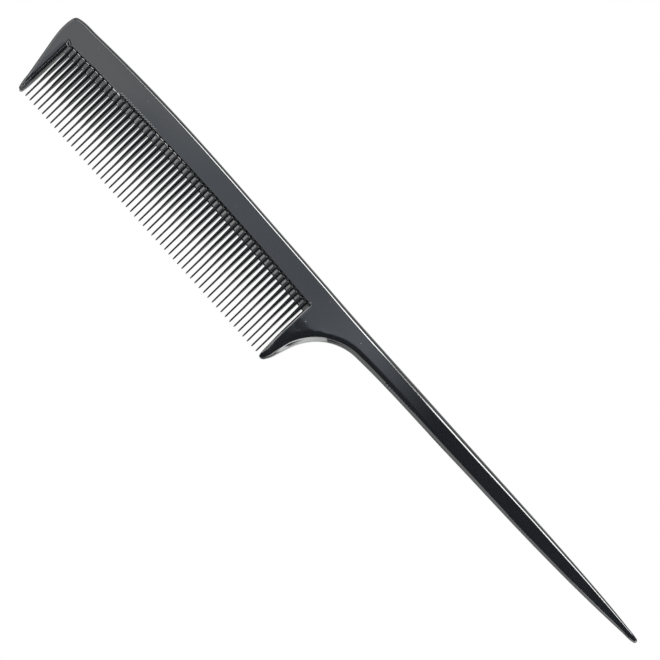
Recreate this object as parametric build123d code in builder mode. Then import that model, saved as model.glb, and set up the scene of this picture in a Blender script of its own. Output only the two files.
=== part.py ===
from build123d import *
import math
import os

# Rat tail comb, lying flat: X runs from the head to the tail tip, the teeth point to -Y,
# the rounded back faces +Y, and Z is the thickness. Millimetres.

# overall size
LENGTH = 221.3
WIDTH = 27.35
THICKNESS = 4.2
HALF = THICKNESS / 2

# the tooth row: its chord starts ROW_INSET from the head end and BACK_RISE below the back
ROW_INSET = 4.85
BACK_RISE = 8.0
PITCH = 1.75
TEETH = 55
FIELD = PITCH * (TEETH + 1)
ROOT_SAGITTA = 1.2
LEAN = 1.15

# moulded edges: rounded outside, and a drafted wall down to the recessed tooth row
EDGE_RADIUS = 1.1
WALL_RUN = 0.6
WEB_HALF = 0.9
WEB_DEPTH = 2.05

# one tooth, as (distance below the row's chord, half width, half height of its upright
# side, half thickness); the flank slopes from the side to a narrow crest
TOOTH = [
    (-1.5, 0.53, 0.5, 1.5),
    (3.0, 0.48, 0.5, 1.47),
    (8.0, 0.33, 0.45, 1.35),
    (11.0, 0.26, 0.38, 1.12),
    (13.2, 0.255, 0.22, 0.42),
    (17.6, 0.225, 0.1, 0.26),
    (18.55, 0.1, 0.05, 0.12),
]
CREST_SHARE = 0.28

# guard teeth: the head guard as (distance below the chord, outer x, inner x, half
# thickness), the tail guard's inner edge as (distance, x), its thickness as (distance, half)
HEAD_GUARD = [
    (WALL_RUN, -4.4, 0.64, HALF),
    (7.0, -2.95, 0.72, HALF),
    (14.0, -1.38, 0.72, 1.75),
    (17.8, -0.62, 0.55, 1.2),
    (18.75, -0.1, 0.25, 0.6),
]
TAIL_GUARD_INNER = [(WALL_RUN, 97.38), (10.5, 97.52), (15.8, 97.79), (18.3, 98.05)]
TAIL_GUARD_HALF = [(5.0, HALF), (9.0, HALF), (14.0, 1.75), (18.3, 1.1)]
TAIL_GUARD_LEVELS = [5.0, 7.0, 9.0, 11.0, 14.0, 17.0, 18.3]
TAIL_GUARD_TIP = WIDTH - BACK_RISE
TAIL_GUARD_TIP_OUTER = 99.35
TAIL_GUARD_TIP_INNER = 98.4
TAIL_GUARD_TIP_HALF = 0.5
FLANK_RUN = 1.0

# head end and back edge
HEAD_END = [(-4.4, -WALL_RUN), (-4.85, 2.2), (-4.72, 4.4)]
HEAD_CORNER = [(-4.15, 6.0), (-2.7, 6.68)]
BACK_CREST = [(16.0, 7.69), (34.0, BACK_RISE), (45.0, 7.92), (56.0, 7.66)]
SPINE_END_Y = 6.36

# neck: the concave lower edge is an arc tangent to the tail and to the tail guard's blade
NECK_BACK = [(105.0, 6.11), (108.5, 6.0), (112.0, 5.93)]
NECK_END = 117.0
TAIL_TOP = 5.85
TAIL_BOTTOM = -0.76
CONCAVE_RADIUS = 15.5
BLADE_ANGLE = 15.6
CONCAVE_MIDDLE = 2.2
NECK_DEPTH = TAIL_GUARD_LEVELS[0]
SEAM_MARGIN = 0.5

# tail, as (x, lower y, upper y, half thickness, corner radius)
TAIL = [
    (NECK_END, TAIL_BOTTOM, TAIL_TOP, HALF, EDGE_RADIUS),
    (186.0, -0.02, 4.62, 1.6, 1.05),
    (198.0, 0.45, 4.22, 1.4, 0.95),
    (208.0, 1.1, 3.72, 1.15, 0.8),
]
TAIL_TIP = [
    (208.0, 1.1, 3.72, 1.15, 0.8),
    (214.2, 1.55, 3.22, 0.85, 0.65),
    (LENGTH - ROW_INSET, 1.95, 2.8, 0.45, 0.35),
]

os.makedirs("parts", exist_ok=True)

row = Plane(origin=(ROW_INSET - LENGTH / 2, WIDTH / 2 - BACK_RISE, HALF))
lean_slope = math.tan(math.radians(LEAN))
blade = math.radians(BLADE_ANGLE)
arc_centre_y = TAIL_BOTTOM - CONCAVE_RADIUS
arc_end_depth = -arc_centre_y - CONCAVE_RADIUS * math.sin(blade)


def between(table, depth):
    """Value at a depth, read along straight lines between the table's rows."""
    for (d0, value0), (d1, value1) in zip(table, table[1:]):
        if depth <= d1:
            return value0 + (value1 - value0) * (depth - d0) / (d1 - d0)
    return table[-1][1]


def concave_x(depth):
    """Outer edge of neck and tail guard: an arc tangent to the tail, then a straight blade."""
    reach = min(depth, arc_end_depth)
    drop = -reach - arc_centre_y
    arc_x = NECK_END - math.sqrt(CONCAVE_RADIUS**2 - drop**2)
    return arc_x - math.tan(blade) * (depth - reach)


def across(x, depth):
    """Plane square to the row's depth: its x runs along the row and its y is the thickness."""
    origin = row.from_local_coords((x, -depth, 0))
    return Plane(origin=origin, x_dir=(1, 0, 0), z_dir=(0, -1, 0))


def along(x, y):
    """Plane square to the comb's length: its x runs to the back and its y is the thickness."""
    origin = row.from_local_coords((x, y, 0))
    return Plane(origin=origin, x_dir=(0, 1, 0), z_dir=(1, 0, 0))


def in_row(edge):
    """Centre of an edge in the row's own coordinates."""
    return row.to_local_coords(edge.center())


def on_face_plane(edge):
    """True for an edge that lies in the comb's upper or lower face."""
    return abs(abs(in_row(edge).Z) - HALF) < 0.001


def guard_points(outer, inner, half):
    """Guard section: bevelled outer edge, and an inner flank that meets at mid thickness."""
    side = 1 if outer > inner else -1
    bevel = min(EDGE_RADIUS, 0.45 * abs(outer - inner), 0.7 * half)
    run = FLANK_RUN * half / HALF * min(1, abs(outer - inner) / 3)
    corner = outer - side * bevel
    soft = outer - side * 0.3 * bevel
    upper = [
        (outer, half - bevel),
        (soft, half - 0.3 * bevel),
        (corner, half),
        (inner + side * run, half),
    ]
    lower = [(x, -z) for x, z in reversed(upper)]
    return upper + [(inner, 0)] + lower


# the spine: the flat back of the comb, from the head end to the start of the neck
with BuildPart() as spine:
    with BuildSketch(row):
        with BuildLine():
            ThreePointArc((0, -WALL_RUN), (FIELD / 2, ROOT_SAGITTA - WALL_RUN), (FIELD, -WALL_RUN))
            Line((FIELD, -WALL_RUN), (FIELD, SPINE_END_Y))
            Line((FIELD, SPINE_END_Y), BACK_CREST[3])
            ThreePointArc(BACK_CREST[3], BACK_CREST[2], BACK_CREST[1])
            ThreePointArc(BACK_CREST[1], BACK_CREST[0], HEAD_CORNER[1])
            ThreePointArc(HEAD_CORNER[1], HEAD_CORNER[0], HEAD_END[2])
            ThreePointArc(HEAD_END[2], HEAD_END[1], HEAD_END[0])
            Line(HEAD_END[0], (0, -WALL_RUN))
        make_face()
    extrude(amount=HALF, both=True)
    for face in (faces().sort_by(Axis.Z)[-1], faces().sort_by(Axis.Z)[0]):
        root_edge = face.edges().filter_by(GeomType.CIRCLE).sort_by(Axis.Y)[0]
        chamfer(root_edge, WALL_RUN, HALF - WEB_HALF, reference=face)
    rims = edges().filter_by(on_face_plane)
    back_rims = rims.filter_by(lambda e: in_row(e).Y > ROOT_SAGITTA)
    back_rims = back_rims.filter_by(lambda e: in_row(e).X < FIELD - SEAM_MARGIN)
    fillet(back_rims, EDGE_RADIUS)

# head guard: the thick blade that covers the first tooth
with BuildPart() as head_guard:
    for depth, outer_x, inner_edge, half in HEAD_GUARD:
        with BuildSketch(across(0, depth)):
            Polygon(*guard_points(outer_x, inner_edge, half), align=None)
    loft(ruled=True)

# tail guard: the curved blade that covers the last tooth
with BuildPart() as tail_guard:
    for depth in TAIL_GUARD_LEVELS:
        inner_x = between(TAIL_GUARD_INNER, depth)
        section = guard_points(concave_x(depth), inner_x, between(TAIL_GUARD_HALF, depth))
        with BuildSketch(across(0, depth)):
            Polygon(*section, align=None)
    tip = guard_points(TAIL_GUARD_TIP_OUTER, TAIL_GUARD_TIP_INNER, TAIL_GUARD_TIP_HALF)
    with BuildSketch(across(0, TAIL_GUARD_TIP)):
        Polygon(*tip, align=None)
    loft(ruled=True)

# neck: where the spine narrows into the tail above the concave curve
flank_top = (TAIL_GUARD_INNER[0][1], -WALL_RUN)
flank_foot = (between(TAIL_GUARD_INNER, NECK_DEPTH), -NECK_DEPTH)
concave_foot = (concave_x(NECK_DEPTH), -NECK_DEPTH)
concave_middle = (concave_x(CONCAVE_MIDDLE), -CONCAVE_MIDDLE)
with BuildPart() as neck:
    with BuildSketch(row):
        with BuildLine():
            Line((FIELD, SPINE_END_Y), NECK_BACK[0])
            ThreePointArc(*NECK_BACK)
            Line(NECK_BACK[2], (NECK_END, TAIL_TOP))
            Line((NECK_END, TAIL_TOP), (NECK_END, TAIL_BOTTOM))
            ThreePointArc((NECK_END, TAIL_BOTTOM), concave_middle, concave_foot)
            Line(concave_foot, flank_foot)
            Line(flank_foot, flank_top)
            Line(flank_top, (FIELD, -WALL_RUN))
            Line((FIELD, -WALL_RUN), (FIELD, SPINE_END_Y))
        make_face()
    extrude(amount=HALF, both=True)
    rims = edges().filter_by(on_face_plane)
    neck_rims = rims.filter_by(lambda e: in_row(e).X > FIELD + SEAM_MARGIN)
    neck_rims = neck_rims.filter_by(lambda e: in_row(e).X < NECK_END - SEAM_MARGIN)
    neck_rims = neck_rims.filter_by(lambda e: in_row(e).Y > SEAM_MARGIN - NECK_DEPTH)
    fillet(neck_rims, EDGE_RADIUS)
    for side in (1, -1):
        with BuildSketch(across(flank_foot[0], WALL_RUN)):
            Polygon(
                (-FLANK_RUN, 0),
                (0, 0),
                (FLANK_RUN, side * HALF),
                (-FLANK_RUN, side * HALF),
                align=None,
            )
        extrude(amount=NECK_DEPTH - WALL_RUN, mode=Mode.SUBTRACT)

# tail: long tapered parting rod, in two lengths that meet square to its axis
with BuildPart() as tail:
    for x, low, high, half, radius in TAIL:
        with BuildSketch(along(x, (low + high) / 2)):
            RectangleRounded(high - low, 2 * half, radius)
    loft(ruled=True)

with BuildPart() as tail_tip:
    for x, low, high, half, radius in TAIL_TIP:
        with BuildSketch(along(x, (low + high) / 2)):
            RectangleRounded(high - low, 2 * half, radius)
    loft(ruled=True)

# the fine teeth: upright sides, flanks that slope to a narrow crest on each face, all
# leaning to the tail, and cut at their roots by the wall of the spine
with BuildPart() as tooth_blanks:
    for index in range(TEETH):
        root_x = PITCH * (index + 1)
        for depth, half_width, side, half in TOOTH:
            crest = CREST_SHARE * half_width
            with BuildSketch(across(root_x + lean_slope * depth, depth)):
                Polygon(
                    (half_width, side),
                    (crest, half),
                    (-crest, half),
                    (-half_width, side),
                    (-half_width, -side),
                    (-crest, -half),
                    (crest, -half),
                    (half_width, -side),
                    align=None,
                )
        loft(ruled=True)

with BuildPart() as teeth:
    add(tooth_blanks.part)
    add(spine.part, mode=Mode.SUBTRACT)

# thin web that closes the roots of the gaps, one pad between each pair of teeth
with BuildPart() as root_web:
    with BuildSketch(row):
        with BuildLine():
            low = -WALL_RUN - WEB_DEPTH
            ThreePointArc((0, -WALL_RUN), (FIELD / 2, ROOT_SAGITTA - WALL_RUN), (FIELD, -WALL_RUN))
            Line((FIELD, -WALL_RUN), (FIELD, low))
            ThreePointArc((FIELD, low), (FIELD / 2, low + ROOT_SAGITTA), (0, low))
            Line((0, low), (0, -WALL_RUN))
        make_face()
    extrude(amount=WEB_HALF, both=True)
    add(tooth_blanks.part, mode=Mode.SUBTRACT)
    add(head_guard.part, mode=Mode.SUBTRACT)
    add(neck.part, mode=Mode.SUBTRACT)

pieces = {
    "spine": spine,
    "head_guard": head_guard,
    "fine_teeth": teeth,
    "root_web": root_web,
    "tail_guard": tail_guard,
    "neck": neck,
    "tail": tail,
    "tail_tip": tail_tip,
}
for label, piece in pieces.items():
    piece.part.label = label
    export_step(piece.part, f"parts/{label}.step")
    print(label, round(piece.part.volume, 1), len(piece.part.solids()))
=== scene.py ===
import math

import bpy
import numpy as np
from mathutils import Matrix, Vector
from mathutils.geometry import delaunay_2d_cdt
from mathutils.kdtree import KDTree


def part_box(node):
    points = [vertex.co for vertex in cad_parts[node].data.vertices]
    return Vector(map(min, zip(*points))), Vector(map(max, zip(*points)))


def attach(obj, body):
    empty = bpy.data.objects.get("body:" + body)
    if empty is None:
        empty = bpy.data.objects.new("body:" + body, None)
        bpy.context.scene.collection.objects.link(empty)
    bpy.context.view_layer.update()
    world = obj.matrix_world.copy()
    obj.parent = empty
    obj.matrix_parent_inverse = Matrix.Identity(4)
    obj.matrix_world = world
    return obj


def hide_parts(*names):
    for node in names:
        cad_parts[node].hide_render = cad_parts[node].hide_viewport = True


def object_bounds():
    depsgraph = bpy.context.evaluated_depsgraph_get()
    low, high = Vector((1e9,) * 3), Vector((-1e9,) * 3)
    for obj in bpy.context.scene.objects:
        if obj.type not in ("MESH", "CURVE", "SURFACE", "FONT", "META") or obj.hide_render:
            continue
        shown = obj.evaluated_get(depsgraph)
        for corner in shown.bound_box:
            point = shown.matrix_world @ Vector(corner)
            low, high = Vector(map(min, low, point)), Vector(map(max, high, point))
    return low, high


# Looks of the rat tail comb. Plan shapes are in millimetres in the tooth row's own axes:
# x runs to the tail, y to the back, z is the thickness, and the origin is at the head end
# of the tooth row's chord, at mid thickness. to_frame() takes them to the row frame.

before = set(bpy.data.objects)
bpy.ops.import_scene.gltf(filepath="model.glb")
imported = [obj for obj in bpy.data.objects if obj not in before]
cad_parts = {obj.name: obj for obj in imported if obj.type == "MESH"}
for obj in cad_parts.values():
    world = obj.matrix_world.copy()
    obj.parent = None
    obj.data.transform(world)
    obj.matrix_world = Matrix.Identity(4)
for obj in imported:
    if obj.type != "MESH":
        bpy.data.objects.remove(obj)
cad_low, cad_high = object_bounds()
MM = 0.001

# where the tooth row lies in the frame
ROW_TO_TAIL_END = 216.45
BACK_RISE = 8.0
row_origin = np.array(
    [
        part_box("tail_tip")[1].x / MM - ROW_TO_TAIL_END,
        cad_high.y / MM - BACK_RISE,
        (cad_low.z + cad_high.z) / 2 / MM,
    ]
)
HALF = (cad_high.z - cad_low.z) / 2 / MM

# tooth row
PITCH = 1.75
TEETH = 55
FIELD = PITCH * (TEETH + 1)
ROOT_SAGITTA = 1.2
LEAN = math.tan(math.radians(1.45))
WALL_RUN = 0.6

# one tooth: (distance below the chord, half width, half height of the upright side, half
# thickness, share of the half width that is a flat crest)
TOOTH = [
    (-0.2, 0.54, 0.75, 1.2, 0.26),
    (-0.05, 0.54, 0.75, 1.36, 0.28),
    (0.1, 0.54, 0.75, 1.46, 0.3),
    (0.3, 0.54, 0.75, 1.5, 0.3),
    (1.9, 0.54, 0.75, 1.49, 0.26),
    (3.2, 0.5, 0.74, 1.46, 0.2),
    (5.3, 0.425, 0.74, 1.42, 0.2),
    (7.0, 0.37, 0.8, 1.38, 0.22),
    (8.0, 0.33, 0.8, 1.35, 0.24),
    (9.6, 0.29, 0.76, 1.22, 0.26),
    (10.8, 0.25, 0.7, 1.05, 0.3),
    (11.6, 0.235, 0.58, 0.84, 0.34),
    (12.4, 0.24, 0.4, 0.6, 0.36),
    (13.4, 0.25, 0.237, 0.42, 0.4),
    (14.4, 0.243, 0.15, 0.32, 0.45),
    (15.5, 0.232, 0.11, 0.28, 0.45),
    (17.9, 0.22, 0.09, 0.25, 0.45),
    (18.4, 0.185, 0.08, 0.21, 0.45),
    (18.65, 0.12, 0.05, 0.14, 0.45),
    (18.75, 0.04, 0.02, 0.05, 0.45),
]
TIP_SPREAD = 0.0125

# depths below the chord where the roots' shift to the wall, and to its arch, fade out
PULL_FADE = 4
ARCH_FADE = 8

# web between the roots of the teeth: where it stops short of the tooth axes and the guards,
# how it lifts toward its sides, and its share of the half height at each depth
WEB_HALF = 0.9
WEB_INSET = 0.34
WEB_START = 0.3
WEB_END = 97.7
WEB_ACROSS = [-0.05, 0.0, 0.05, 0.12, 0.3, 0.7, 0.88, 0.95, 1.0, 1.05]
WEB_LIFT = [0.2, 0.1, 0.03, 0.0, 0.0, 0.0, 0.0, 0.03, 0.1, 0.2]
WEB_ROWS = [
    (-0.4, 0.6),
    (-0.3, 0.7),
    (-0.2, 0.8),
    (-0.1, 0.9),
    (0.02, 0.97),
    (0.16, 1.0),
    (0.34, 0.98),
    (0.7, 0.93),
    (1.2, 0.86),
    (1.75, 0.78),
    (1.95, 0.73),
    (2.1, 0.62),
    (2.2, 0.4),
]

# outline of the body, as runs of points joined by smooth curves
WALL_START = 0.64
WALL_END = 97.38
WALL_STEPS = 25
NECK_END = 117.0
TAIL_BOTTOM = -0.76
CONCAVE_RADIUS = 15.5
BLADE_ANGLE = math.radians(15.6)
TAIL_TIP_X = ROW_TO_TAIL_END
GUARD_TIP = (98.85, -19.34)
HEAD_TIP = (0.08, -18.86)
ARC_STEPS = 12

# places along the row: the head guard is before HEAD_SIDE, the tail guard after it and
# before GUARD_SIDE
HEAD_SIDE = 20
GUARD_SIDE = 105

# spacing of the outline's points, closer along the guards, at both ends and round the neck;
# LAST_SPACING is the share of it kept clear before the last point of a run
GUARDS_BELOW = -0.9
TAIL_END_FROM = 204
NECK_FROM = 92
NECK_TO = 126
GUARD_SPACING = 0.35
END_SPACING = 0.28
NECK_SPACING = 0.5
PLAIN_SPACING = 0.9
LAST_SPACING = 0.6


def to_frame(points):
    """Plan points in millimetres, in the tooth row's axes, as points of the row frame."""
    return (np.asarray(points, float) + row_origin) * MM


def smooth_curve(points, step=0.05):
    """Points every step along a smooth curve through the given plan points."""
    points = np.array(points, float)
    spans = np.linalg.norm(np.diff(points, axis=0), axis=1)
    slopes = np.diff(points, axis=0) / spans[:, None]
    tangents = np.empty_like(points)
    tangents[0], tangents[-1] = slopes[0], slopes[-1]
    before, after = spans[:-1, None], spans[1:, None]
    tangents[1:-1] = (slopes[:-1] * after + slopes[1:] * before) / (before + after)
    made = []
    for i, span in enumerate(spans):
        t = np.linspace(0, 1, max(2, int(span / step)), endpoint=False)[:, None]
        h00, h10 = 2 * t**3 - 3 * t**2 + 1, t**3 - 2 * t**2 + t
        h01, h11 = 3 * t**2 - 2 * t**3, t**3 - t**2
        leave, arrive = h10 * span * tangents[i], h11 * span * tangents[i + 1]
        made.append(h00 * points[i] + leave + h01 * points[i + 1] + arrive)
    made.append(points[-1:])
    return np.concatenate(made)


def spacing_at(point):
    """How far apart the outline's points are at a place."""
    x, y = point
    if y < GUARDS_BELOW:
        return GUARD_SPACING
    if x < 0 or x > TAIL_END_FROM:
        return END_SPACING
    if NECK_FROM < x < NECK_TO:
        return NECK_SPACING
    return PLAIN_SPACING


def thin_out(points):
    """Keeps points of a fine curve at the local spacing, and both its ends."""
    kept = [points[0]]
    for p in points[1:-1]:
        far = np.linalg.norm(p - kept[-1]) >= spacing_at(p)
        if far and np.linalg.norm(p - points[-1]) > LAST_SPACING * spacing_at(p):
            kept.append(p)
    kept.append(points[-1])
    return np.array(kept)


def root_y(x):
    """Face edge of the spine above the tooth row."""
    across = (np.asarray(x) - FIELD / 2) / (FIELD / 2)
    return ROOT_SAGITTA * (1 - across**2)


def low_edge():
    """From the tail guard's tip up its blade, round the concave arc and along the tail."""
    centre_y = TAIL_BOTTOM - CONCAVE_RADIUS
    arc = []
    for turn in np.linspace(math.pi - BLADE_ANGLE, math.pi / 2, ARC_STEPS):
        x = NECK_END + CONCAVE_RADIUS * math.cos(turn)
        arc.append((x, centre_y + CONCAVE_RADIUS * math.sin(turn)))
    foot_x, foot_y = arc[0]
    blade = [(foot_x + math.tan(BLADE_ANGLE) * (y - foot_y), y) for y in (-17.2, -15.5, -13.6)]
    made = [GUARD_TIP, (99.35, -19.2), (99.85, -18.75), (100.18, -18.1)] + blade + arc
    made += [(152, -0.38), (186, -0.02), (198, 0.45), (208, 1.1), (212, 1.42)]
    made += [(215.3, 1.68), (216.2, 1.95), (TAIL_TIP_X, 2.45)]
    return made


def back_edge():
    """From the tail tip along the rounded back, round the head and down to its tip."""
    made = [(TAIL_TIP_X, 2.45), (216.2, 2.95), (215.3, 3.14), (212, 3.42), (208, 3.72)]
    made += [(198, 4.22), (186, 4.62), (152, 5.23), (117, 5.85), (112, 5.93), (105, 6.11)]
    made += [(98, 6.36), (77, 7.01), (56, 7.66), (45, 7.9), (34, 7.99), (16, 7.69), (4, 7.14)]
    made += [(-2.5, 6.7), (-3.4, 6.44), (-4.0, 5.95), (-4.32, 5.2), (-4.5, 4.2)]
    made += [(-4.58, 2.2), (-4.5, 0.6), (-4.27, -0.9), (-2.95, -7), (-1.38, -14)]
    made += [(-0.72, -17.4), (-0.45, -18.3), (-0.18, -18.75), HEAD_TIP]
    return made


def outline_runs():
    """The body's outline as five runs, counter-clockwise from the tip of the tail guard."""
    xs = np.linspace(WALL_START, WALL_END, WALL_STEPS)
    wall = [(x, float(root_y(x)) - WALL_RUN) for x in xs]
    head_flank = [HEAD_TIP, (0.36, -18.7), (0.52, -17.8), (0.68, -15.5), (0.72, -7), wall[0]]
    tail_flank = [wall[-1], (97.52, -10.5), (97.79, -15.8), (98.0, -18.2), (98.18, -18.95)]
    tail_flank += [(98.45, -19.24), GUARD_TIP]
    named = {
        "low": low_edge(),
        "top": back_edge(),
        "head_flank": head_flank,
        "wall": wall,
        "tail_flank": tail_flank,
    }
    return {name: thin_out(smooth_curve(points)) for name, points in named.items()}


def table(rows):
    """A function that reads a value between rows of (place, value)."""
    places, values = zip(*rows)
    return lambda place: np.interp(place, places, values)


# how far the rounding of each edge reaches into the face, along the comb
top_reach = table([(-4.8, 1.2), (98, 1.25), (112, 1.45), (155, 1.5), (186, 1.15), (208, 0.8), (214, 0.5)])
low_reach = table([(99, 3.3), (117, 3.0), (125, 2.8), (155, 2.4), (186, 2.2), (208, 1.3), (214, 0.7)])

# half thickness of the tail along it, and of the guards by distance below the chord
tail_half = table(
    [(117, HALF), (150, 1.88), (186, 1.6), (198, 1.4), (208, 1.15), (214.5, 0.86), (216.5, 0.6)]
)
head_half = table([(12.5, HALF), (15.5, 2.0), (17.6, 1.6), (19.4, 0.6)])
guard_half = table(
    [(2.5, HALF), (4.2, 2.065), (6.5, 1.985), (11, 1.86), (14, 1.72), (17.6, 1.25), (19.4, 0.6)]
)

# width of the guards by distance below the chord
head_width = table([(0, 5.0), (7, 3.67), (14, 2.1), (17.6, 1.2), (18.9, 0.6)])
tail_width = table([(0, 9.0), (5, 8.0), (10.5, 4.9), (15.8, 2.2), (18.9, 0.9), (19.4, 0.6)])

# shares of a guard's width that its edges and its inner flank may take, and the edges' limits
TOP_SHARE = 0.55
LOW_SHARE = 0.72
FLANK_SHARE = 0.45
HEAD_REACH = 1.2
GUARD_REACH = 3.3

# the back's rounding: the most of the half thickness it takes, and the draft of the side below
TOP_RISE = 0.95
SIDE_DRAFT = 0.06

# inner flank of a guard: a steep foot, then a gentle shoulder that ends at the face
FLANK_RUN = 1.0
FLANK_FOOT = 0.3
FLANK_SLOPE = 1.1
SHOULDER_FROM = 0.55
SHOULDER_RUN = 0.45
SHOULDER_FOOT = 0.91
SHOULDER_RISE = 0.09

# wall above the teeth: a low ledge, then a slope that reaches the face after WALL_RUN
LEDGE_RUN = 0.25
LEDGE_HALF = 0.95
LEDGE_SLOPE = 0.4
FACE_FOOT = 1.0
WALL_OVERSHOOT = 1.2

# how far the wall and flank lines are extended past the recess corners
EXTENSION = 9

# rounding where two heights cross, and how near counts as touching
BLEND = 0.07
SNAP = 1e-6


def nearest(points, line):
    """Distance from each point to a line of points."""
    a, b = line[:-1], line[1:]
    best = np.full(len(points), 1e9)
    for start, end in zip(a, b):
        d = end - start
        t = np.clip(((points - start) @ d) / (d @ d), 0, 1)
        gap = np.hypot(*(points - start - t[:, None] * d).T)
        best = np.minimum(best, gap)
    return best


def soft_min(a, b):
    """The lower of two heights, with a small rounding where they cross."""
    h = np.clip(0.5 + 0.5 * (b - a) / BLEND, 0, 1)
    return b * (1 - h) + a * h - BLEND * h * (1 - h)


# the lower edge in section: share of its reach, share of the half thickness
LOW_PROFILE_STEP = 0.002
LOW_PROFILE = smooth_curve(
    [(0, 0.56), (0.02, 0.585), (0.05, 0.615), (0.09, 0.65), (0.15, 0.705), (0.25, 0.79)]
    + [(0.35, 0.885), (0.43, 0.93), (0.55, 0.963), (0.75, 0.988), (1, 1)],
    LOW_PROFILE_STEP,
)


def bevelled(gap, reach, half):
    """Height over the lower edge: a steep side, a bevel and a long soft shoulder."""
    return half * np.interp(gap / reach, LOW_PROFILE[:, 0], LOW_PROFILE[:, 1])


def rounded(gap, reach, rise, half):
    """Height over an elliptic edge, above a side wall with a little draft."""
    wall = half - rise
    draft = SIDE_DRAFT * wall + SNAP
    q = np.clip(1 - (gap - draft) / (reach - draft), 0, 1)
    return np.where(gap < draft, wall * gap / draft, wall + rise * np.sqrt(1 - q**2))


def recess_height(points, runs, half, flank_run):
    """Height that the guards' inner flanks and the wall above the teeth allow."""
    x = points[:, 0]
    at_head = x < HEAD_SIDE
    wall_line = runs["wall"]
    wall_y = np.interp(x, wall_line[:, 0], wall_line[:, 1])
    above = points[:, 1] > wall_y - SNAP
    head_corner, tail_corner = runs["head_flank"][-1], runs["tail_flank"][0]
    head_line = np.vstack([runs["head_flank"], head_corner + (0, EXTENSION)])
    tail_line = np.vstack([tail_corner + (0, EXTENSION), runs["tail_flank"]])
    beside_head = at_head & (x <= head_corner[0])
    beside_tail = x >= tail_corner[0]
    recess = np.zeros(len(points))
    for line, beside in ((head_line, beside_head), (tail_line, beside_tail)):
        here = beside | (~above & (at_head == (line is head_line)))
        gap = nearest(points, line) / flank_run
        steep = (FLANK_FOOT + FLANK_SLOPE * gap) * half
        gentle = (SHOULDER_FOOT + SHOULDER_RISE * (gap - SHOULDER_FROM) / SHOULDER_RUN) * half
        recess = np.where(here, np.maximum(recess, np.minimum(steep, gentle)), recess)
    before, after = wall_line[:1] - (EXTENSION, 0), wall_line[-1:] + (EXTENSION, 0)
    gap = nearest(points, np.vstack([before, wall_line, after]))
    ledge = LEDGE_HALF + LEDGE_SLOPE * gap
    face = FACE_FOOT + (gap - LEDGE_RUN) * (HALF - FACE_FOOT) / (WALL_RUN - LEDGE_RUN)
    recess = np.where(above, np.maximum(recess, np.maximum(ledge, face)), recess)
    return np.minimum(recess, WALL_OVERSHOOT * HALF)


def height(points, runs):
    """Half thickness of the body at plan points."""
    x, depth = points[:, 0], -points[:, 1]
    at_head = x < HEAD_SIDE
    half = np.minimum(tail_half(x), np.where(at_head, head_half(depth), guard_half(depth)))
    width = np.where(at_head, head_width(depth), tail_width(depth))
    in_guard = (depth > 0) & (x < GUARD_SIDE)
    in_head, in_tail = in_guard & at_head, in_guard & ~at_head
    top_run = np.where(in_head, np.minimum(top_reach(x), TOP_SHARE * width), top_reach(x))
    low_run = np.where(in_tail, np.minimum(low_reach(x), LOW_SHARE * width), low_reach(x))
    flank_run = np.minimum(FLANK_RUN, FLANK_SHARE * width) * half / HALF
    top_rise = np.minimum(top_run, TOP_RISE * half)
    top = rounded(nearest(points, runs["top"]), top_run, top_rise, half)
    low = bevelled(nearest(points, runs["low"]), low_run, half)
    made = soft_min(soft_min(top, low), recess_height(points, runs, half, flank_run))
    return np.clip(made, 0, half)


def edge_normals(loop):
    """Inward unit normal at each point of a counter-clockwise loop."""
    ahead = np.roll(loop, -1, 0) - loop
    behind = loop - np.roll(loop, 1, 0)
    ahead /= np.linalg.norm(ahead, axis=1)[:, None]
    behind /= np.linalg.norm(behind, axis=1)[:, None]
    along = ahead + behind
    along /= np.linalg.norm(along, axis=1)[:, None]
    return np.stack([-along[:, 1], along[:, 0]], 1)


# where rings of points lie inside each kind of edge, as shares of its reach
RING_SHARES = {
    "top": [0.02, 0.045, 0.08, 0.12, 0.17, 0.23, 0.3, 0.38, 0.46, 0.55, 0.64, 0.73, 0.82, 0.91, 1.0],
    "low": [0.006, 0.012, 0.02, 0.03, 0.042, 0.055, 0.072, 0.09, 0.12, 0.15, 0.2]
    + [0.25, 0.3, 0.35, 0.39, 0.43, 0.49, 0.55, 0.65, 0.75, 0.87, 1.0],
    "flank": [0.15, 0.35, 0.5, 0.58, 0.75, 0.92, 1.03],
    "wall": [0.05, 0.2, 0.3, 0.38, 0.5, 0.62, 0.75],
}
RING_CLEARANCE = 0.97


def inset_points(loop, normals, owners):
    """Rings of points inside the outline, where the rounded edges and walls need them."""
    x, depth = loop[:, 0], -loop[:, 1]
    at_head = (x < HEAD_SIDE) & (depth > 0)
    at_guard = (x < GUARD_SIDE) & (depth > 0)
    reach = {
        "top": np.where(at_head, np.minimum(HEAD_REACH, TOP_SHARE * head_width(depth)), top_reach(x)),
        "low": np.where(at_guard, np.minimum(GUARD_REACH, LOW_SHARE * tail_width(depth)), low_reach(x)),
        "flank": np.full(len(loop), FLANK_RUN),
        "wall": np.ones(len(loop)),
    }
    closed = np.vstack([loop, loop[:1]])
    made = []
    for kind, shares in RING_SHARES.items():
        mine = np.array([owner == kind for owner in owners])
        for share in shares:
            inset = (reach[kind] * share)[mine]
            points = loop[mine] + normals[mine] * inset[:, None]
            clear = nearest(points, closed) > RING_CLEARANCE * inset
            made.append(points[clear])
    return np.concatenate(made)


def inside(points, loop):
    """Which points lie inside a closed loop."""
    result = np.zeros(len(points), bool)
    x, y = points.T
    for (x0, y0), (x1, y1) in zip(loop, np.roll(loop, -1, 0)):
        crosses = (y0 > y) != (y1 > y)
        if y1 != y0:
            result ^= crosses & (x < (x1 - x0) * (y - y0) / (y1 - y0) + x0)
    return result


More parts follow.
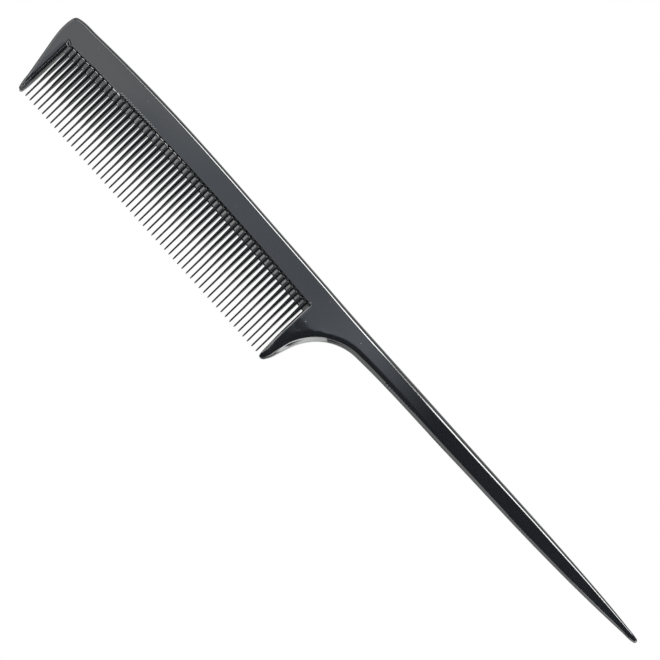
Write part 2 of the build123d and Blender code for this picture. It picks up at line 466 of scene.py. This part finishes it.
def mesh_object(name, vertices, faces, normals=None):
    """A smooth-shaded mesh piece from points of the row frame."""
    mesh = bpy.data.meshes.new(name)
    mesh.from_pydata([tuple(v) for v in vertices], [], faces)
    mesh.polygons.foreach_set("use_smooth", [True] * len(mesh.polygons))
    if normals is not None:
        mesh.normals_split_custom_set([tuple(n) for n in normals])
    piece = bpy.data.objects.new(name, mesh)
    bpy.context.scene.collection.objects.link(piece)
    return piece


# even points over the rest of the face, kept clear of the outline and of the rings
GRID_STEP = 0.9
GRID_LOW = (-5, -19)
GRID_HIGH = (216, 9)
GRID_CLEARANCE = 0.3
SLOPE_STEP = 0.004
RIM_HEIGHT = 1e-4


def grid_points(loop, rings):
    """An even grid of points inside the outline, away from its edge and from the rings."""
    grid_x = np.arange(GRID_LOW[0], GRID_HIGH[0], GRID_STEP)
    grid_y = np.arange(GRID_LOW[1], GRID_HIGH[1], GRID_STEP)
    grid = np.stack(np.meshgrid(grid_x, grid_y), -1).reshape(-1, 2)
    grid = grid[inside(grid, loop)]
    grid = grid[nearest(grid, np.vstack([loop, loop[:1]])) > GRID_CLEARANCE]
    tree = KDTree(len(rings))
    for i, p in enumerate(rings):
        tree.insert((p[0], p[1], 0), i)
    tree.balance()
    return np.array([p for p in grid if tree.find((p[0], p[1], 0))[2] > GRID_CLEARANCE])


def plan_triangles(loop, normals, owners):
    """The plan view cut into triangles: its points, outline first, and their triples."""
    rings = inset_points(loop, normals, owners)
    points = np.concatenate([loop, rings, grid_points(loop, rings)])
    outline = list(range(len(loop)))
    cut = delaunay_2d_cdt([Vector(p) for p in points], [], [outline], 1, SNAP)
    return np.array([tuple(v) for v in cut[0]]), np.array([f for f in cut[2]])


def face_normals(plan, runs, rim, normals):
    """Normals of the upper face from its slopes, level where it meets the outline."""
    right, back = (SLOPE_STEP, 0), (0, SLOPE_STEP)
    slope_x = (height(plan + right, runs) - height(plan - right, runs)) / (2 * SLOPE_STEP)
    slope_y = (height(plan + back, runs) - height(plan - back, runs)) / (2 * SLOPE_STEP)
    upward = np.stack([-slope_x, -slope_y, np.ones(len(plan))], 1)
    upward /= np.linalg.norm(upward, axis=1)[:, None]
    level = np.flatnonzero(rim[: len(normals)])
    upward[level, 2] = 0
    upward[level, :2] = -normals[level]
    return upward


def side_faces(normals, lower_index):
    """Upright faces between the upper and lower edges of the outline, with their normals."""
    count = len(normals)
    outward = np.column_stack([-normals, np.zeros(count)])
    faces, corners = [], []
    for i in range(count):
        j = (i + 1) % count
        side = {i: i, int(lower_index[i]): i, int(lower_index[j]): j, j: j}
        if len(side) > 2:
            faces.append(tuple(side))
            corners.append(outward[list(side.values())])
    return faces, corners


def drop_unused(vertices, faces):
    """The vertices that the faces use, and the faces numbered to match."""
    used = np.zeros(len(vertices), bool)
    for face in faces:
        used[list(face)] = True
    index = np.cumsum(used) - 1
    return vertices[used], [tuple(int(index[v]) for v in face) for face in faces]


def body_mesh():
    """The moulded body: spine, neck, tail and both guards as one closed skin."""
    runs = outline_runs()
    loop = np.concatenate([line[:-1] for line in runs.values()])
    kinds = {"head_flank": "flank", "tail_flank": "flank"}
    owners = [kinds.get(name, name) for name, line in runs.items() for _ in line[:-1]]
    normals = edge_normals(loop)
    plan, triangles = plan_triangles(loop, normals, owners)
    rise = height(plan, runs)
    rim = rise < RIM_HEIGHT
    upward = face_normals(plan, runs, rim, normals)
    downward = upward * (1, 1, -1)
    lower_index = np.arange(len(plan)) + len(plan)
    lower_index[rim] = np.arange(len(plan))[rim]
    faces = [tuple(t) for t in triangles]
    corners = [upward[t] for t in triangles]
    faces += [tuple(lower_index[t][::-1]) for t in triangles]
    corners += [downward[t[::-1]] for t in triangles]
    sides, side_corners = side_faces(normals, lower_index)
    top = to_frame(np.column_stack([plan, rise]))
    bottom = to_frame(np.column_stack([plan, -rise]))
    vertices, faces = drop_unused(np.concatenate([top, bottom]), faces + sides)
    return mesh_object("comb_body", vertices, faces, np.concatenate(corners + side_corners))


def loft(loops):
    """Vertices and faces of a closed skin over rings of equal count, capped at both ends."""
    rings, size = len(loops), len(loops[0])
    vertices = np.concatenate(loops)
    faces = [tuple(range(size))[::-1], tuple(range((rings - 1) * size, rings * size))]
    for r in range(rings - 1):
        for i in range(size):
            j = (i + 1) % size
            faces.append((r * size + i, r * size + j, (r + 1) * size + j, (r + 1) * size + i))
    return vertices, faces


def join_lofts(name, parts):
    """One piece from several lofted skins."""
    vertices, faces, start = [], [], 0
    for points, cells in parts:
        vertices.append(points)
        faces += [tuple(start + v for v in cell) for cell in cells]
        start += len(points)
    return mesh_object(name, to_frame(np.concatenate(vertices)), faces)


def tooth_section(half_width, side, half, crest):
    """Closed section of a tooth: upright sides, sloping flanks and flat crests, soft corners."""
    flat = crest * half_width

    def flank(share):
        return (half_width + (flat - half_width) * share, side + (half - side) * share)

    right = [(half_width, share * side) for share in (0, 0.5, 0.8)]
    right += [(half_width * 0.995, 0.93 * side)]
    right += [flank(share) for share in (0.06, 0.2, 0.5, 0.8, 0.92)]
    right += [(flat * 1.1, half * 0.985), (0.8 * flat, half), (0, half)]
    left = [(-x, z) for x, z in right[::-1]][1:]
    upper = right + left
    lower = [(x, -z) for x, z in upper[::-1]][1:-1]
    return np.array(upper + lower)


def teeth_mesh():
    """Fifty-five fine teeth that lean a little to the tail and reach a little further there."""
    parts = []
    for i in range(TEETH):
        root_x = PITCH * (i + 1)
        start = float(root_y(root_x))
        reach = 1 + TIP_SPREAD * (2 * i / (TEETH - 1) - 1)
        rings = []
        for depth, half_width, side, half, crest in TOOTH:
            section = tooth_section(half_width, side, half, crest)
            x = section[:, 0] + root_x + LEAN * depth
            pulled_in = WALL_RUN * max(0, 1 - depth / PULL_FADE)
            y = -depth * reach - pulled_in + start * max(0, 1 - depth / ARCH_FADE)
            rings.append(np.column_stack([x, np.full(len(x), y), section[:, 1]]))
        parts.append(loft(rings))
    return join_lofts("comb_teeth", parts)


def web_mesh():
    """Thin pads that close the roots of the gaps, rising from a groove and with a soft lower lip."""
    across, lift = np.array(WEB_ACROSS), np.array(WEB_LIFT)
    parts = []
    for i in range(TEETH + 1):
        left = PITCH * i + WEB_INSET if i else WEB_START
        right = PITCH * (i + 1) - WEB_INSET if i < TEETH else WEB_END
        xs = left + (right - left) * across
        rings = []
        for depth, share in WEB_ROWS:
            ys = root_y(xs) - WALL_RUN - depth
            zs = (WEB_HALF + lift) * share
            upper = np.column_stack([xs[::-1], ys[::-1], zs[::-1]])
            lower = np.column_stack([xs, ys, -zs])
            rings.append(np.concatenate([upper, lower]))
        parts.append(loft(rings))
    return join_lofts("comb_web", parts)


# moulded black plastic: tones, wear and texture scales; the teeth get a weaker reflection, painted shade
# for the shadowed floor they reflect
PLASTIC_DARK = (0.0030, 0.0034, 0.0040, 1)
PLASTIC_LIGHT = (0.0044, 0.0050, 0.0058, 1)
PLASTIC_IOR = 1.53
DUST_TONE = (0.35, 0.36, 0.38, 1)
DUST_SCALE = 900
DUST_FROM = 0.785
DUST_TO = 0.83
DUST_COVER = 0.35
CLOUD_SCALE = 60
SCRATCH_SCALE = 240
SCRATCH_STRETCH = (0.12, 1, 1)
SCRATCH_FROM = 0.35
SCRATCH_TO = 0.75
POLISHED = 0.05
SCUFFED = 0.13
FLOW_SCALE = 70
PEEL_SCALE = 900
PEEL_STRENGTH = 0.3
PEEL_DEPTH = 0.0000015
BODY_WAVE = 0.000014
FINE_WAVE = 0.00001
PLAIN_SHINE = 0.5
# weaker reflection on the teeth: painted shade, standing in for the shadowed floor seen between them
TEETH_SHADED_SHINE = 0.2


def shader_nodes(material):
    """Node tree, its principled shader and a maker of new nodes."""
    material.use_nodes = True
    tree = material.node_tree
    shader = tree.nodes["Principled BSDF"]

    def add(kind, **sockets):
        node = tree.nodes.new(kind)
        for key, value in sockets.items():
            node.inputs[key.replace("_", " ")].default_value = value
        return node

    return tree, shader, add


def black_plastic(name, wave, shine):
    """Glossy black moulded plastic with faint flow waves, fine scratches and a little dust; shine sets
    its reflection, lowered on the teeth as painted shade.
    """
    material = bpy.data.materials.new(name)
    tree, shader, add = shader_nodes(material)
    link = tree.links.new
    place = add("ShaderNodeTexCoord").outputs["Object"]

    def noise(scale, detail, stretch=(1, 1, 1)):
        moved = add("ShaderNodeMapping", Scale=stretch)
        link(place, moved.inputs["Vector"])
        made = add("ShaderNodeTexNoise", Scale=scale, Detail=detail)
        link(moved.outputs["Vector"], made.inputs["Vector"])
        return made.outputs["Fac"]

    def ramp(value, low, high, dark, light):
        made = add("ShaderNodeMapRange")
        made.inputs["From Min"].default_value = low
        made.inputs["From Max"].default_value = high
        made.inputs["To Min"].default_value = dark
        made.inputs["To Max"].default_value = light
        link(value, made.inputs["Value"])
        return made.outputs["Result"]

    def mix(factor, first, second):
        made = tree.nodes.new("ShaderNodeMix")
        made.data_type = "RGBA"
        made.inputs["B"].default_value = second
        link(factor, made.inputs["Factor"])
        if isinstance(first, tuple):
            made.inputs["A"].default_value = first
        else:
            link(first, made.inputs["A"])
        return made.outputs["Result"]

    tint = mix(noise(CLOUD_SCALE, 3), PLASTIC_DARK, PLASTIC_LIGHT)
    dust = ramp(noise(DUST_SCALE, 1), DUST_FROM, DUST_TO, 0.0, DUST_COVER)
    link(mix(dust, tint, DUST_TONE), shader.inputs["Base Color"])
    scratch = noise(SCRATCH_SCALE, 4, SCRATCH_STRETCH)
    worn = ramp(scratch, SCRATCH_FROM, SCRATCH_TO, POLISHED, SCUFFED)
    link(worn, shader.inputs["Roughness"])
    shader.inputs["IOR"].default_value = PLASTIC_IOR
    shader.inputs["Specular IOR Level"].default_value = shine
    flow = add("ShaderNodeBump", Strength=1.0, Distance=wave)
    link(noise(FLOW_SCALE, 1), flow.inputs["Height"])
    peel = add("ShaderNodeBump", Strength=PEEL_STRENGTH, Distance=PEEL_DEPTH)
    link(noise(PEEL_SCALE, 2), peel.inputs["Height"])
    link(flow.outputs["Normal"], peel.inputs["Normal"])
    link(peel.outputs["Normal"], shader.inputs["Normal"])
    return material


def dress(piece, material, *nodes):
    """Puts a finish on a piece, hangs it under the root body and hides the CAD nodes that it stands for.
    """
    piece.data.materials.append(material)
    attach(piece, "root")
    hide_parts(*nodes)


body_plastic = black_plastic("plastic_body", BODY_WAVE, PLAIN_SHINE)
body_nodes = ("spine", "head_guard", "tail_guard", "neck", "tail", "tail_tip")
dress(body_mesh(), body_plastic, *body_nodes)
# the teeth's plastic reflects less than the body's, as painted shade
dress(teeth_mesh(), black_plastic("plastic_teeth", FINE_WAVE, TEETH_SHADED_SHINE), "fine_teeth")
dress(web_mesh(), black_plastic("plastic_web", FINE_WAVE, PLAIN_SHINE), "root_web")


# stage, in metres of the row frame: a pale floor under glowing panels
FLOOR_REACH = 4.0
FLOOR_DROP = 0.0002
FLOOR_GLOW = 1.0
CEILING = 1.0
BELOW_CEILING = CEILING - 0.02
SOFTBOX_HEIGHT = CEILING - 0.01
LOW_HEIGHT = 0.3
BLADE_HEIGHT = 0.298
WHITE = (1, 1, 1)
COOL = (0.9, 0.97, 1.06)
PALE = (0.97, 0.985, 1.02)


def stage_sheet(name, corners, z):
    """A level sheet of the stage from its plan corners."""
    mesh = bpy.data.meshes.new(name)
    mesh.from_pydata([(x, y, z) for x, y in corners], [], [tuple(range(len(corners)))])
    sheet = bpy.data.objects.new(name, mesh)
    bpy.context.scene.collection.objects.link(sheet)
    return sheet


def glow(name, strength):
    """Plain white light of a given radiance."""
    material = bpy.data.materials.new(name)
    material.use_nodes = True
    nodes = material.node_tree.nodes
    nodes.clear()
    light = nodes.new("ShaderNodeEmission")
    light.inputs["Strength"].default_value = strength
    out = nodes.new("ShaderNodeOutputMaterial")
    material.node_tree.links.new(light.outputs["Emission"], out.inputs["Surface"])
    return material, light


def light_sheet(name, corners, strength, tint=WHITE, z=CEILING):
    """A glowing panel overhead, from its plan corners: its material and its light node."""
    material, light = glow(name, strength)
    light.inputs["Color"].default_value = (*tint, 1)
    stage_sheet(name, corners, z).data.materials.append(material)
    return material, light


def box(x0, y0, x1, y1):
    """Plan corners of an upright rectangle."""
    return [(x0, y0), (x1, y0), (x1, y1), (x0, y1)]


def shade_along(material, light, axis, stops, tint):
    """Varies a panel's brightness along one of its axes, from stops of (place, level)."""
    low, high = stops[0][0], stops[-1][0]
    nodes, links = material.node_tree.nodes, material.node_tree.links
    coords = nodes.new("ShaderNodeTexCoord")
    split = nodes.new("ShaderNodeSeparateXYZ")
    links.new(coords.outputs["Object"], split.inputs["Vector"])
    reach = nodes.new("ShaderNodeMapRange")
    reach.inputs["From Min"].default_value = low
    reach.inputs["From Max"].default_value = high
    links.new(split.outputs[axis], reach.inputs["Value"])
    levels = nodes.new("ShaderNodeValToRGB")
    first, last = levels.color_ramp.elements
    first.color = (*[c * stops[0][1] for c in tint], 1)
    last.color = (*[c * stops[-1][1] for c in tint], 1)
    for place, level in stops[1:-1]:
        stop = levels.color_ramp.elements.new((place - low) / (high - low))
        stop.color = (*[c * level for c in tint], 1)
    links.new(reach.outputs["Result"], levels.inputs["Fac"])
    links.new(levels.outputs["Color"], light.inputs["Color"])


def lay_floor():
    """A plain white floor just under the comb."""
    corners = box(-FLOOR_REACH, -FLOOR_REACH, FLOOR_REACH, FLOOR_REACH)
    floor = stage_sheet("floor", corners, cad_low.z - FLOOR_DROP)
    floor.data.materials.append(glow("floor_white", FLOOR_GLOW)[0])


def hang_back_strips():
    """Strips behind the comb: the highlight along its back, weaker just past the neck."""
    near, far = 0.62, 1.6
    gap_start, gap_end = -0.075, 0.01
    light_sheet("strip_head", box(-0.57, near, gap_start, far), 26)
    light_sheet("strip_gap", box(gap_start, near, gap_end, far), 5)
    light_sheet("strip_tail", box(gap_end, near, 0.62, far), 26)


def hang_front_strips():
    """Strips in front of the comb and beside its head, seen in steeper faces."""
    light_sheet("strip_low", box(-0.62, -0.5, -0.19, -0.17), 4.6)
    light_sheet("strip_front", box(-1.25, -0.95, -0.47, -0.62), 14, z=BELOW_CEILING)
    light_sheet("strip_side", box(-1.9, -1.6, -1.2, 0.4), 7)


def hang_low_panels():
    """Low panels, in front of the comb and beyond its tail, for the pale lower rim."""
    rim = [(-0.25, -2.5), (2.5, -2.5), (2.5, 0.3), (0.35, 0.3), (0.35, -0.45), (-0.25, -0.45)]
    light_sheet("strip_rim", rim, 2.4, z=LOW_HEIGHT)
    turns = np.radians(np.linspace(20, -62, 12))
    reaches = np.linspace(0.56, 0.76, 12)
    fan = [(r * math.cos(a), r * math.sin(a)) for r, a in zip(reaches, turns)]
    fan += [(0.34 * math.cos(a), 0.34 * math.sin(a)) for a in turns[::-1]]
    panel = light_sheet("strip_blade", fan, 11, z=BLADE_HEIGHT)
    stops = [(-0.7, 0.22), (-0.6, 0.26), (-0.42, 0.7), (-0.25, 1.0), (0.2, 1.0)]
    shade_along(*panel, "Y", stops, WHITE)


def hang_softboxes():
    """Softboxes overhead that are reflected in the flat face, and a small panel near them."""
    light_sheet("strip_guard", box(-1.02, -0.35, -0.8, -0.15), 6, z=BELOW_CEILING)
    corners = [(-1.05, -0.8), (-0.475, -0.8), (-0.462, 0.010), (-0.445, 0.020)]
    corners += [(-0.432, 0.026), (-0.418, 0.029), (-0.37, 0.031), (-0.33, 0.036)]
    corners += [(-0.37, 0.048), (-0.42, 0.055), (-0.43, 0.12), (-0.43, 0.6)]
    corners += [(-0.58, 0.6), (-0.58, 1.7), (-1.05, 1.7)]
    panel = light_sheet("softbox_head", corners, 12.0, z=SOFTBOX_HEIGHT)
    stops = [(-0.8, 0.2), (-0.1, 0.18), (0.06, 0.175), (0.2, 0.095), (0.45, 0.08), (0.56, 0.17)]
    stops += [(0.68, 1.0), (0.92, 1.0), (1.05, 0.17), (1.3, 0.12), (1.7, 0.12)]
    shade_along(*panel, "Y", stops, PALE)
    panel = light_sheet("softbox_mid", box(-0.6, -0.075, 0.03, 0.25), 2.4)
    stops = [(-0.6, 0.66), (-0.40, 0.64), (-0.28, 0.56), (-0.17, 0.46), (-0.13, 0.6)]
    stops += [(-0.09, 0.74), (-0.05, 0.55), (0.0, 0.1), (0.03, 0)]
    shade_along(*panel, "X", stops, COOL)


lay_floor()
hang_back_strips()
hang_front_strips()
hang_low_panels()
hang_softboxes()

HORIZON_AT = 0.3
HORIZON = (1, 1, 1, 1)
OVERHEAD_AT = 0.52
OVERHEAD = (0.015, 0.015, 0.016, 1)


def surround():
    """Surroundings that are pale at the horizon and dark overhead."""
    world = bpy.data.worlds.new("studio")
    bpy.context.scene.world = world
    world.use_nodes = True
    nodes, links = world.node_tree.nodes, world.node_tree.links
    coords = nodes.new("ShaderNodeTexCoord")
    split = nodes.new("ShaderNodeSeparateXYZ")
    links.new(coords.outputs["Generated"], split.inputs["Vector"])
    sky = nodes.new("ShaderNodeValToRGB")
    pale, dark = sky.color_ramp.elements
    pale.position, pale.color = HORIZON_AT, HORIZON
    dark.position, dark.color = OVERHEAD_AT, OVERHEAD
    links.new(split.outputs["Z"], sky.inputs["Fac"])
    links.new(sky.outputs["Color"], nodes["Background"].inputs["Color"])


surround()

# camera above the comb, tilted along it and turned; its aim is a point of the tooth row's axes
CAMERA_AIM = (105.97, -0.865, 0)
CAMERA_TILT = math.radians(7.396)
CAMERA_TURN = math.radians(47.27)
CAMERA_RANGE = 0.33983
SENSOR_WIDTH = 36.0
LENS = 70.91
CLIP_NEAR = 0.01
CLIP_FAR = 20


def place_camera():
    """The camera of the main view."""
    turn = Matrix.Rotation(CAMERA_TILT, 3, "Y") @ Matrix.Rotation(CAMERA_TURN, 3, "Z")
    data = bpy.data.cameras.new("camera")
    data.sensor_width = SENSOR_WIDTH
    data.lens = LENS
    data.clip_start = CLIP_NEAR
    data.clip_end = CLIP_FAR
    camera = bpy.data.objects.new("camera", data)
    camera.location = Vector(to_frame(CAMERA_AIM)) + turn @ Vector((0, 0, CAMERA_RANGE))
    camera.rotation_euler = turn.to_euler()
    bpy.context.scene.collection.objects.link(camera)
    bpy.context.scene.camera = camera


place_camera()
bpy.context.scene.view_settings.view_transform = "Standard"
